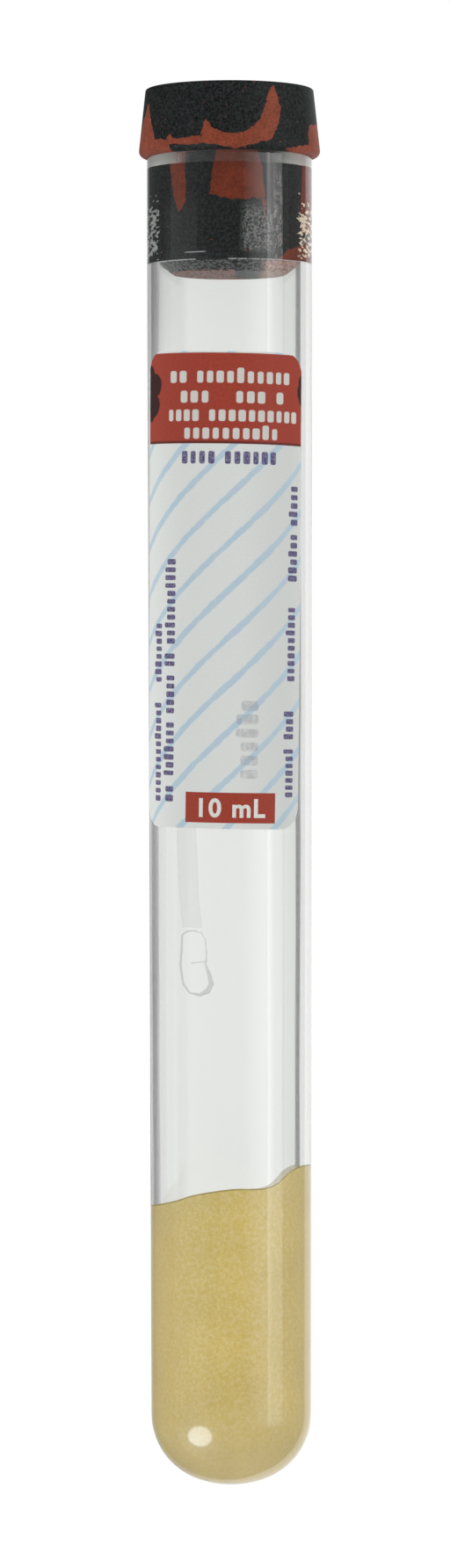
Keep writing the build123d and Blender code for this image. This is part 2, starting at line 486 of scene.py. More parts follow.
# Red areas of the stopper as (angle in degrees from the label's middle, station in millimetres)
HEAD_RED = (
    ((-69.3, -4.8), (-61, -2.8), (-55.5, -1.2), (-86, -1.2), (-78, -3.3)),
    ((-100, -1.25), (-48, -1.2), (-41, -0.9), (-41.5, 0.3), (-100, 0.3)),
    ((-44.5, -1.0), (-41.3, -1.6), (-38.2, -1.0)),
    ((-42, -1.05), (-15, -1.2), (-15, -0.5), (-42, -0.6)),
    ((61.5, -2.1), (64.5, -2.75), (75, -2.85), (112, -3.4), (112, 0.3), (60, 0.3), (60.4, -0.85)),
    ((38.9, -0.2), (60.6, -0.85), (80, -0.9), (80, 0.3), (50, 0.3)),
)
HEAD_CRESCENT = (
    (-15.4, -3.05),
    (-18.6, -1.4),
    (-16, -0.5),
    (4.2, -0.05),
    (11.3, -0.3),
    (27.6, -0.95),
    (34.2, -2.9),
    (35.8, -4.0),
    (30.8, -6.1),
)
HEAD_HOLLOW = (
    (-20, -8),
    (30.9, -6.2),
    (25.1, -4.7),
    (19.6, -3.43),
    (15.5, -2.4),
    (9, -2.2),
    (-12, -2.5),
    (-20, -3.2),
)
PLUG_RED = (
    ((-52, 0), (-36, 0), (-34.9, 2.8), (-34.9, 4.5), (-38, 5.3), (-42.2, 5.6), (-45.7, 4.3), (-48.5, 2.7)),
    (
        (-11.2, 0),
        (-12.3, 1.1),
        (-20.7, 4.7),
        (-5, 4.6),
        (10, 4.9),
        (27.8, 5.5),
        (27.8, 4.2),
        (26, 2.1),
        (22, 0),
    ),
    ((24.5, 4.5), (28.3, 4.5), (27.6, 6.7)),
    ((64.3, 0), (64.7, 5), (63.3, 7.2), (118, 8), (118, 0)),
    ((60, 8.0), (118, 7.8), (118, 10.4), (33, 10.4), (35, 9.5), (49, 9.05)),
)


def union(nodes, point, outlines):
    """How far inside any of several convex outlines a point lies."""
    depths = []
    for outline in outlines:
        depths.append(convex(nodes, point, [(angle / DEGREES_PER_MM, station) for angle, station in outline]))
    return nodes.largest(*depths)


def marbled_rubber(finishes):
    """Near-black rubber marbled with red-brown, matt, with fine specks, dust, pale grains and painted
    highlights on the plug.
    """
    nodes = finish_nodes("marbled_rubber")
    place = nodes.local()
    x, _, z = nodes.parts(place)
    angle, station = round_field(nodes, place)
    # the edges of the marbling wander a little
    wander = nodes.add("ShaderNodeTexNoise", {"Vector": place, "Scale": 1.5, "Detail": 4.0, "Roughness": 0.6})
    inputs = {0: wander.outputs["Color"], 1: (0.5, 0.5, 0.5)}
    moved = nodes.parts(nodes.add("ShaderNodeVectorMath", inputs, operation="SUBTRACT").outputs[0])
    across = nodes.math("MULTIPLY_ADD", moved[0], 0.55, nodes.math("DIVIDE", angle, DEGREES_PER_MM))
    along = nodes.math("MULTIPLY_ADD", moved[1], 0.6, station)
    point = nodes.vector(across, along, 1.0)
    crescent = union(nodes, point, [HEAD_CRESCENT])
    bowl_across = nodes.math("DIVIDE", nodes.minus(across, 2 / DEGREES_PER_MM), 23.5 / DEGREES_PER_MM)
    bowl_along = nodes.math("DIVIDE", nodes.plus(along, 5.5), 4.1)
    bowl = nodes.rest(nodes.plus(nodes.math("POWER", bowl_across, 2.0), nodes.math("POWER", bowl_along, 2.0)))
    hollow = nodes.largest(bowl, union(nodes, point, [HEAD_HOLLOW]))
    crescent = nodes.smallest(crescent, nodes.times(hollow, -1.0))
    # the side away from the label has broad streaks of its own
    back = nodes.step(nodes.absolute(angle), 100.0, 118.0)
    streaks = nodes.minus(nodes.noise(nodes.stretched(place, (0.20, 0.11, 0.20)), 1.0, 2.0, 0.5), 0.53)
    streaks = nodes.minus(streaks, nodes.rest(back))
    # the outlines shrink away towards the middle of the top
    inner = nodes.scaled(nodes.length(x, z), 4.0, 6.5, 2.0, 0.0)
    shapes = nodes.minus(nodes.largest(union(nodes, point, HEAD_RED), crescent), inner)
    on_head = nodes.largest(shapes, streaks)
    on_plug = nodes.largest(union(nodes, point, PLUG_RED), streaks)
    below_rim = nodes.step(station, 0.02, 0.06)
    depth = nodes.add("ShaderNodeMix", {0: below_rim, 2: on_head, 3: on_plug}).outputs[0]
    red = nodes.step(depth, -0.03, 0.03)
    fine = nodes.noise(place, 4.2, 3.0, 0.85)
    red_specks = nodes.step(nodes.noise(place, 3.1, 1.0, 0.5), 0.735, 0.75)
    dark_specks = nodes.step(nodes.noise(place, 4.3, 1.0, 0.5), 0.73, 0.75)
    red = nodes.largest(red, nodes.times(red_specks, 0.6))
    red = nodes.times(red, nodes.rest(nodes.times(dark_specks, 0.8)))
    cloud = nodes.noise(place, 0.7, 2.0, 0.5)
    dark = nodes.dim(finishes.rubber_dark, nodes.scaled(fine, 0.37, 0.66, 0.0, 3.0))
    shade = nodes.times(nodes.spread(cloud, 0.85, 1.15), nodes.scaled(fine, 0.35, 0.65, 0.72, 1.30))
    tones = nodes.mix(below_rim, finishes.rubber_red, (0.19, 0.033, 0.012))
    bright = nodes.dim(tones, shade)
    paint = nodes.mix(red, dark, bright)
    # coarse grey and cream grains over both sides of the plug, drawn by place
    grains = nodes.noise(place, 4.0, 3.0, 0.8)
    left_side = nodes.band(angle, -126.0, -100.0, -69.0, -59.0)
    right_side = nodes.band(angle, 58.0, 66.0, 98.0, 124.0)
    low = nodes.band(station, 3.2, 6.2, 9.2, 10.4)
    squeezed = nodes.stretched(place, (1.0, 1.0, 0.35))
    grainy_sides = nodes.times(nodes.largest(left_side, right_side), low)
    sparse = nodes.times(nodes.rest(grainy_sides), 0.16)
    speckled = nodes.step(nodes.minus(nodes.noise(squeezed, 2.9, 2.0, 0.6), sparse), 0.49, 0.55)
    speckled = nodes.times(speckled, nodes.above(grainy_sides, 0.02))
    cream = nodes.mix(nodes.step(angle, -5.0, 5.0), (0.44, 0.44, 0.43), (1.0, 0.86, 0.66))
    paint = nodes.over(paint, cream, speckled, 0.95)
    drawn = nodes.noise(nodes.vector(nodes.times(across, 6.0), nodes.times(along, 0.8)), 1.0, 3.0, 0.7)
    # partly painted sheen of the wide window pane on the right, partly scratches: a pale patch drawn by place
    # in front of the plug
    front = nodes.band(angle, 6.0, 14.0, 32.0, 37.0)
    front = nodes.times(front, nodes.band(station, 4.2, 6.2, 8.9, 9.6))
    scratches = nodes.math("MULTIPLY_ADD", drawn, 0.25, nodes.times(grains, 0.75))
    front = nodes.times(front, nodes.scaled(scratches, 0.45, 0.56, 0.0, 1.15))
    paint = nodes.over(paint, (0.40, 0.40, 0.39), front, 0.46)
    # painted highlight: a pale strip down the plug, streaked like scratches, under the reflection of the
    # window on the right
    strip = nodes.band(angle, 34.0, 36.0, 42.0, 44.0)
    scratches = nodes.math("MULTIPLY_ADD", drawn, 0.6, nodes.times(grains, 0.4))
    strip = nodes.times(strip, nodes.step(station, 1.0, 3.0), nodes.step(scratches, 0.49, 0.56))
    paint = nodes.over(paint, (0.42, 0.37, 0.36), strip, 0.55)
    # a faint lighter grey band, drawn by place on the plug's left
    haze = nodes.band(angle, -60.0, -52.0, -27.0, -24.0)
    haze = nodes.times(haze, nodes.band(station, 3.6, 5.6, 9.8, 10.0))
    paint = nodes.over(paint, (0.40, 0.41, 0.40), haze, 0.035)
    # the chamfer is dusty, and the lower end has pale red grains
    end = nodes.above(station, 10.14)
    paint = nodes.over(paint, (0.27, 0.27, 0.265), end, nodes.scaled(grains, 0.45, 0.58, 0.0, 0.62))
    face = nodes.above(station, 10.95)
    reddish = nodes.times(face, nodes.rest(nodes.step(x, 0.2, 0.8)))
    pink = nodes.times(end, nodes.step(x, 2.6, 3.4))
    paint = nodes.over(paint, (0.40, 0.21, 0.18), reddish, nodes.scaled(grains, 0.45, 0.56, 0.05, 1.0))
    paint = nodes.over(paint, (0.60, 0.34, 0.28), pink, nodes.scaled(grains, 0.43, 0.57, 0.2, 0.9))
    # painted highlight along the plug's lower edge, broken in places, with a short pale mark above it
    edge_highlight_and_mark = nodes.band(station, 9.99, 10.02, 10.08, 10.12)
    gap = nodes.band(angle, -28.0, -26.0, -2.0, 0.0)
    whole = nodes.times(nodes.rest(gap), nodes.step(grains, 0.36, 0.46))
    nick = nodes.band(station, 9.32, 9.34, 9.40, 9.42)
    nick = nodes.times(nick, nodes.band(angle, -37.0, -33.0, -21.0, -17.0))
    edge_highlight_and_mark = nodes.largest(nodes.times(edge_highlight_and_mark, whole), nick)
    paint = nodes.over(paint, (0.62, 0.62, 0.60), edge_highlight_and_mark, 0.8)
    rub = nodes.step(nodes.noise(place, 14.0, 1.0, 0.5), 0.70, 0.76)
    paint = nodes.over(paint, (0.30, 0.30, 0.29), rub, 0.10)
    height = nodes.plus(nodes.times(fine, 0.5), nodes.noise(place, 2.0, 3.0, 0.6))
    shader = nodes.principled(
        Base_Color=paint,
        Roughness=nodes.spread(fine, 0.50, 0.66),
        Specular_IOR_Level=0.22,
        Normal=nodes.bump(height, 0.35, 0.05 * MM),
    )
    return nodes.surface(shader)


def clear_plastic(finishes):
    """Clear moulded plastic with faint waves, painted grey shade bands along its sides, and a painted
    reflection and glint at the mouth.
    """
    nodes = finish_nodes("clear_wall")
    place = nodes.local()
    _, station = round_field(nodes, place)
    x, _, z = nodes.parts(place)
    reach = nodes.length(x, z)
    outside = nodes.above(reach, 7.15)
    waves = nodes.noise(nodes.stretched(place, (0.55, 0.03, 0.55)), 1.0, 2.0, 0.5)
    haze = nodes.noise(place, 0.35, 4.0, 0.65)
    facing = nodes.add("ShaderNodeLayerWeight", {"Blend": 0.5}).outputs["Facing"]
    leaving = nodes.add("ShaderNodeNewGeometry").outputs["Backfacing"]
    # painted shade: grey bands, drawn by how far the wall turns away from the viewer, stand in for the dark
    # lines that light bent through a thick clear wall shows, with limits set by trial and different ones on
    # the left and on the right
    right = nodes.step(x, -2.0, 2.0)
    left = nodes.rest(right)
    shifted = nodes.plus(facing, nodes.scaled(station, 12.0, 40.0, 0.008, 0.0))
    depth = nodes.scaled(shifted, 0.183, 0.200, 0.74, 0.88)
    inner_side = nodes.times(nodes.step(shifted, 0.163, 0.186), depth)
    left_shade_band = nodes.smallest(inner_side, nodes.rest(nodes.step(shifted, 0.204, 0.219)))
    left_shade_band = nodes.largest(left_shade_band, nodes.times(nodes.step(facing, 0.130, 0.146), 0.10))
    left_shade_band = nodes.times(left_shade_band, nodes.rest(nodes.step(facing, 0.214, 0.222)))
    right_shade_band = nodes.band(facing, 0.133, 0.145, 0.160, 0.169)
    right_shade_band = nodes.times(right_shade_band, 0.95)
    right_inner = nodes.scaled(facing, 0.085, 0.135, 0.0, 0.13)
    right_shade_band = nodes.largest(right_shade_band, nodes.times(right_inner, nodes.below(facing, 0.15)))
    right_edge_shade = nodes.times(nodes.scaled(facing, 0.160, 0.200, 0.28, 0.0), nodes.above(facing, 0.16))
    grey = nodes.plus(nodes.times(left_shade_band, left), nodes.times(nodes.largest(right_shade_band, right_edge_shade), right))
    above_gel = nodes.times(outside, nodes.rest(nodes.step(station, 99.0, 101.0)))
    grey = nodes.times(grey, leaving, above_gel)
    mottled = nodes.times(grey, nodes.spread(nodes.noise(place, 2.2, 3.0, 0.7), 0.86, 1.0))
    shader = nodes.principled(
        Base_Color=nodes.mix(mottled, finishes.clear, finishes.edge),
        Roughness=nodes.scaled(haze, 0.35, 0.7, 0.015, 0.06),
        IOR=1.57,
        Transmission_Weight=1.0,
        Normal=nodes.bump(waves, 0.12, 0.10 * MM),
    )
    # painted reflection: the flared mouth is matt white, most of all on the left and right, in place of the
    # bright
    # surroundings that it mirrors, and a painted glint, a short pale mark, lies just below the rim:
    # both are drawn by place, though the tube is the same all round
    flare = nodes.band(station, 0.02, 0.06, 1.02, 1.08)
    flare = nodes.times(flare, nodes.below(reach, 7.3))
    flare = nodes.times(flare, nodes.plus(nodes.times(nodes.step(nodes.absolute(x), 3.4, 6.6), 0.82), 0.03))
    glint = nodes.band(x, -4.8, -4.2, -1.9, -1.4)
    rim = nodes.band(station, 0.02, 0.05, 0.10, 0.13)
    glint = nodes.times(glint, outside, nodes.times(rim, 0.6))
    flare = nodes.largest(flare, glint)
    matt = nodes.add("ShaderNodeBsdfDiffuse", {"Color": (0.80, 0.80, 0.77)}).outputs[0]
    shader = nodes.blend(flare, shader, matt)
    # rays towards the lamps pass straight through, so that what is inside is lit
    passing = nodes.add("ShaderNodeLightPath").outputs["Is Shadow Ray"]
    return nodes.surface(nodes.blend(passing, shader, nodes.clear((0.94, 0.95, 0.94))))


def gel_finish(finishes):
    """Opaque tan gel, finely mottled, with painted shade: less yellow at both sides and towards the round
    end.
    """
    nodes = finish_nodes("gel")
    place = nodes.local()
    mottle = nodes.noise(place, 3.0, 4.0, 0.8)
    broad = nodes.noise(place, 0.16, 2.0, 0.5)
    share = nodes.plus(nodes.scaled(mottle, 0.34, 0.66, -0.08, 0.08), nodes.spread(broad, 0.95, 1.06))
    paint = nodes.dim(nodes.mix(nodes.step(mottle, 0.44, 0.62), finishes.gel, (0.71, 0.59, 0.28)), share)
    x, y, _ = nodes.parts(place)
    # drawn shade: less yellow at both sides and towards the round end
    beside = nodes.largest(nodes.step(nodes.absolute(x), 3.0, 7.5), nodes.step(y, -113.0, -124.0))
    paint = nodes.over(paint, (0.655, 0.535, 0.29), beside, 0.55)
    shader = nodes.principled(
        Base_Color=paint,
        Roughness=nodes.spread(broad, 0.28, 0.42),
        Subsurface_Weight=0.15,
        Subsurface_Radius=(1.0, 0.8, 0.4),
        Subsurface_Scale=0.6 * MM,
        Normal=nodes.bump(nodes.noise(place, 0.5, 2.0, 0.5), 0.2, 0.1 * MM),
    )
    return nodes.surface(shader)


def gel_skin(finishes):
    """The gel's surface and the thin dark line where it meets the wall."""
    nodes = finish_nodes("gel_skin")
    place = nodes.local()
    mottle = nodes.noise(place, 2.0, 3.0, 0.6)
    paint = nodes.dim(nodes.mix(0.35, finishes.gel, (0.10, 0.09, 0.075)), nodes.spread(mottle, 0.75, 1.1))
    shader = nodes.principled(
        Base_Color=paint,
        Roughness=nodes.spread(mottle, 0.18, 0.30),
        Normal=nodes.bump(mottle, 0.3, 0.1 * MM),
    )
    return nodes.surface(shader)


def print_marks(nodes, along, foot, words, cell, height, seed):
    """A row of print as plain rounded marks. Words are (start, end) along it, foot is a height above it."""
    result = None
    for number, (start, end) in enumerate(words):
        x = nodes.minus(along, start)
        count = max(round((end - start) / cell), 1)
        pitch = (end - start) / count
        step = nodes.math("DIVIDE", x, pitch)
        beside = nodes.times(nodes.minus(nodes.math("FRACT", step), 0.5), pitch)
        key = nodes.vector(nodes.math("FLOOR", step), seed + number * 1.7)
        dice = nodes.add("ShaderNodeTexWhiteNoise", {"Vector": key}, noise_dimensions="2D").outputs["Color"]
        rolls = nodes.parts(dice)
        tall = nodes.above(rolls[0], 0.78)
        half = nodes.math("MULTIPLY_ADD", tall, height * 0.10, height * 0.36)
        wide = nodes.math("MULTIPLY_ADD", rolls[1], pitch * 0.08, pitch * 0.30)
        corner = pitch * 0.22
        over_x = nodes.minus(nodes.absolute(beside), nodes.minus(wide, corner))
        up = nodes.absolute(nodes.minus(foot, half))
        over_y = nodes.minus(up, nodes.minus(half, corner))
        length = nodes.length(nodes.largest(over_x, 0.0), nodes.largest(over_y, 0.0))
        mark = nodes.step(nodes.minus(corner, length), -0.03, 0.04)
        within = nodes.math("COMPARE", x, (end - start) / 2, (end - start) / 2)
        mark = nodes.times(mark, within)
        result = mark if result is None else nodes.largest(result, mark)
    return result


def level_row(nodes, u, v, foot, words, cell, height):
    """Print marks of a level row, its foot at this distance from the label's top."""
    return print_marks(nodes, u, nodes.minus(foot, v), words, cell, height, foot)


def upright_row(nodes, u, v, foot, words, cell, height):
    """Print marks of an upright row, its foot at this distance from the print's centre line."""
    return print_marks(nodes, v, nodes.minus(foot, u), words, cell, height, foot)


# The capacity box's middle on the label, as (across, down), and the stripes' spacing down it, in millimetres
BOX_MIDDLE = (0.34, 42.32)
STRIPE_PITCH = 4.435


def printed_paper(finishes):
    """Coated paper with slanted pale stripes, a red header, a capacity box and rows of print marks."""
    nodes = finish_nodes("label_paper")
    flat = nodes.add("ShaderNodeUVMap", uv_map=LABEL_UV).outputs[0]
    u, v, _ = nodes.parts(flat)
    blur = nodes.minus(nodes.noise(flat, 1.3, 3.0, 0.6), 0.5)
    # stripes
    across = nodes.plus(nodes.math("MULTIPLY_ADD", u, 0.97, v), nodes.times(blur, 0.35))
    phase = nodes.math("FRACT", nodes.math("DIVIDE", nodes.minus(across, 2.04), STRIPE_PITCH))
    from_middle = nodes.times(nodes.absolute(nodes.minus(phase, 0.5)), STRIPE_PITCH * 0.7)
    wide = nodes.spread(nodes.noise(flat, 0.30, 2.0, 0.5), 0.18, 0.30)
    stripe = nodes.rest(nodes.step(nodes.minus(from_middle, wide), -0.07, 0.12))
    strength = nodes.spread(nodes.noise(flat, 0.45, 3.0, 0.6), 0.80, 1.0)
    bluer = nodes.step(nodes.noise(flat, 0.6, 1.0, 0.5), 0.52, 0.72)
    tone = nodes.mix(bluer, finishes.stripe, (0.49, 0.58, 0.73))
    fibre = nodes.spread(nodes.noise(flat, 6.0, 3.0, 0.7), 0.965, 1.03)
    # drawn shade: the paper is a tenth darker on the right
    right_side = nodes.scaled(u, 1.0, 6.0, 1.0, 0.90)
    paper = nodes.dim(finishes.paper, nodes.times(fibre, right_side))
    paint = nodes.mix(nodes.times(stripe, strength), paper, tone)
    # small print
    long_words = ((19.2, 27.3), (28.0, 29.4), (30.0, 33.8), (34.4, 39.6), (40.3, 42.0))
    violet = nodes.largest(
        level_row(nodes, u, v, 10.45, ((-5.05, -1.50), (-0.85, 4.35)), 0.80, 1.65),
        upright_row(nodes, u, v, -5.45, long_words, 0.72, 1.5),
        upright_row(nodes, u, v, -7.25, ((25.2, 30.9), (32.6, 42.0)), 0.72, 1.35),
        upright_row(nodes, u, v, 7.05, ((12.2, 16.1), (16.7, 21.3)), 0.72, 1.35),
        upright_row(nodes, u, v, 6.85, ((23.5, 30.6),), 0.72, 1.35),
        upright_row(nodes, u, v, 6.75, ((33.2, 36.0), (36.7, 41.4)), 0.72, 1.35),
    )
    worn = nodes.scaled(nodes.noise(flat, 5.0, 2.0, 0.6), 0.35, 0.6, 0.75, 1.0)
    paint = nodes.over(paint, finishes.ink, violet, worn)
    grey = upright_row(nodes, u, v, 2.85, ((32.2, 39.8),), 1.27, 2.3)
    patchy = nodes.scaled(nodes.noise(flat, 1.6, 2.0, 0.6), 0.4, 0.6, 0.22, 0.50)
    paint = nodes.over(paint, finishes.stamp, grey, patchy)
    # header, its patches and the line under it
    mottle = nodes.spread(nodes.noise(flat, 4.0, 3.0, 0.7), 0.88, 1.12)
    red = nodes.dim(finishes.header, mottle)
    patches = []
    for x, y, radius in (
        (-10.3, 3.9, 2.0),
        (-9.85, 2.2, 1.0),
        (-8.8, 3.1, 1.15),
        (-9.0, 4.95, 1.1),
        (-9.7, 5.7, 0.8),
        (7.95, 2.6, 0.95),
        (7.75, 3.5, 0.95),
        (7.95, 4.2, 0.85),
    ):
        inputs = {0: nodes.vector(u, v), 1: (x, y, 0)}
        reach = nodes.add("ShaderNodeVectorMath", inputs, operation="DISTANCE").outputs["Value"]
        patches.append(nodes.minus(radius, reach))
    patch = nodes.step(nodes.plus(nodes.largest(*patches), nodes.times(blur, 0.3)), -0.04, 0.06)
    line = nodes.step(v, 8.30, 8.36)
    header = nodes.mix(nodes.largest(patch, nodes.times(line, 0.7)), red, finishes.blotch)
    white = nodes.largest(
        level_row(nodes, u, v, 2.95, ((-6.55, -4.35), (-3.60, 5.80)), 0.93, 1.55),
        level_row(nodes, u, v, 4.80, ((-5.30, -2.10), (0.05, 3.15), (3.95, 5.20)), 0.93, 1.55),
        level_row(nodes, u, v, 6.50, ((-6.70, -3.10), (-2.40, 6.80)), 0.93, 1.50),
        level_row(nodes, u, v, 8.15, ((-4.85, 4.50),), 0.93, 1.45),
    )
    header = nodes.mix(white, header, (0.66, 0.64, 0.60))
    in_header = nodes.band(v, 0.12, 0.18, 8.54, 8.60)
    edge = nodes.smallest(nodes.minus(u, -10.0), nodes.minus(7.5, u))
    in_header = nodes.smallest(in_header, nodes.step(edge, 0.0, 0.05))
    paint = nodes.mix(in_header, paint, header)
    # capacity box
    in_box = nodes.smallest(
        nodes.minus(4.35, nodes.absolute(nodes.minus(u, BOX_MIDDLE[0]))),
        nodes.minus(1.435, nodes.absolute(nodes.minus(v, BOX_MIDDLE[1]))),
    )
    paint = nodes.mix(nodes.step(in_box, 0.0, 0.05), paint, red)
    shader = nodes.principled(
        Base_Color=paint,
        Roughness=nodes.spread(nodes.noise(flat, 2.0, 3.0, 0.6), 0.46, 0.62),
        Specular_IOR_Level=0.12,
        Normal=nodes.bump(nodes.noise(flat, 3.0, 3.0, 0.65), 0.25, 0.03 * MM),
    )
    return nodes.surface(shader)


def plain_paper(finishes):
    """The paper's edge and glued back, with a faint fibre."""
    nodes = finish_nodes("label_back")
    place = nodes.local()
    fibre = nodes.noise(place, 3.0, 4.0, 0.7)
    paint = nodes.dim(finishes.paper, nodes.spread(fibre, 0.92, 1.08))
    shader = nodes.principled(
        Base_Color=paint, Roughness=nodes.spread(fibre, 0.6, 0.8), Normal=nodes.bump(fibre, 0.3, 0.03 * MM)
    )
    return nodes.surface(shader)


def white_print():
    """White ink of the capacity figure."""
    nodes = finish_nodes("white_ink")
    place = nodes.local()
    mottle = nodes.noise(place, 6.0, 2.0, 0.6)
    paint = nodes.dim((0.78, 0.76, 0.72), nodes.spread(mottle, 0.92, 1.05))
    shader = nodes.principled(Base_Color=paint, Roughness=nodes.spread(mottle, 0.45, 0.6))
    return nodes.surface(shader)


def dried_film(name, cover, tone):
    """A thin dried film that lets light through and covers what is behind it by this share."""
    nodes = finish_nodes(name)
    grain = nodes.noise(nodes.local(), 0.8, 2.0, 0.5)
    shade = nodes.spread(grain, 0.97, 1.02)
    paint = nodes.dim(tone, shade)
    rough = nodes.spread(grain, 0.4, 0.6)
    body = nodes.principled(Base_Color=paint, Roughness=rough, Specular_IOR_Level=0.0)
    through = nodes.add("ShaderNodeBsdfTranslucent", {"Color": paint}).outputs[0]
    film = nodes.blend(0.7, body, through)
    return nodes.surface(nodes.blend(nodes.times(cover, shade), nodes.clear((1, 1, 1)), film))


# Pieces


class BuildWall(bpy.types.Operator):
    """Makes the clear moulding with its flared mouth and round end"""

    bl_idname = "collection_tube.build_wall"
    bl_label = "Clear wall"

    def execute(self, context):
        sizes = context.scene.tube_sizes
        bm = bmesh.new()
        section = Section(bm, 0, -sizes.length)
        bore = sizes.neck_radius - sizes.wall
        round_end(section, sizes, 0, upwards=True)
        section.line(sizes.neck_radius, -sizes.neck_length, cuts=14)
        section.line(sizes.neck_radius, -RIM_ROUND, cuts=3)
        section.arc(sizes.neck_radius - RIM_ROUND, -RIM_ROUND, pi / 2, 5)
        section.line(bore + sizes.flare_width, 0)
        section.line(bore, -sizes.flare_depth)
        section.line(bore, -sizes.neck_length, cuts=3)
        round_end(section, sizes, sizes.wall, upwards=False)
        section.revolve()
        piece = new_object("clear_tube", bm, [clear_plastic(context.scene.finishes)])
        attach(piece, "tube")
        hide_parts("tube_body")
        return {"FINISHED"}


class BuildStopper(bpy.types.Operator):
    """Makes the rubber stopper with its head, plug and needle well"""

    bl_idname = "collection_tube.build_stopper"
    bl_label = "Marbled stopper"

    def execute(self, context):
        tube = context.scene.tube_sizes
        sizes = context.scene.stopper_sizes
        plug = tube.neck_radius - tube.wall + TOUCH
        head = tube.neck_radius + sizes.overhang
        top = sizes.head_height
        edge = top - sizes.edge_radius
        lip = head - sizes.lip_radius
        drop = (edge - sizes.lip_radius) * sin(sizes.lean)
        edge_centre = lip + (sizes.lip_radius - sizes.edge_radius - drop) / cos(sizes.lean)
        floor = top - sizes.well_depth
        bm = bmesh.new()
        section = Section(bm, 0, floor)
        section.line(sizes.well_radius - sizes.well_floor_radius, floor, cuts=3)
        section.arc(sizes.well_radius - sizes.well_floor_radius, floor + sizes.well_floor_radius, pi / 2, 5)
        section.line(sizes.well_radius, top - sizes.edge_radius, cuts=2)
        section.arc(sizes.well_radius + sizes.edge_radius, top - sizes.edge_radius, -pi / 2, 4)
        section.line(edge_centre, top, cuts=3)
        section.arc(edge_centre, edge, sizes.lean - pi / 2, 5)
        lip_top = (lip + sizes.lip_radius * cos(sizes.lean), sizes.lip_radius * (1 + sin(sizes.lean)))
        section.line(*lip_top, cuts=8)
        section.arc(lip, sizes.lip_radius, -sizes.lean - pi / 2, 8)
        section.line(tube.neck_radius, -TOUCH)
        section.line(plug, -TOUCH)
        bevel_height = 0.12 * MM
        bevel_width = 0.08 * MM
        section.line(plug, -sizes.plug_length + bevel_height, cuts=10)
        section.line(plug - bevel_width, -sizes.plug_length)
        end = sizes.plug_length + sizes.chamfer_height
        section.line(plug - sizes.chamfer_width, -end, cuts=2)
        section.line(0, -end, cuts=5)
        section.revolve()
        piece = new_object("marbled_stopper", bm, [marbled_rubber(context.scene.finishes)])
        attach(piece, "stopper")
        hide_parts("stopper")
        return {"FINISHED"}


def on_label(sizes, x, y, depth):
    """A point of the label's own plane (across, down from its top edge, depth) on the unrolled side."""
    down = y - sizes.height / 2
    return Vector(
        (
            x * cos(sizes.turn) - down * sin(sizes.turn),
            sizes.middle + x * sin(sizes.turn) + down * cos(sizes.turn),
            depth,
        )
    )


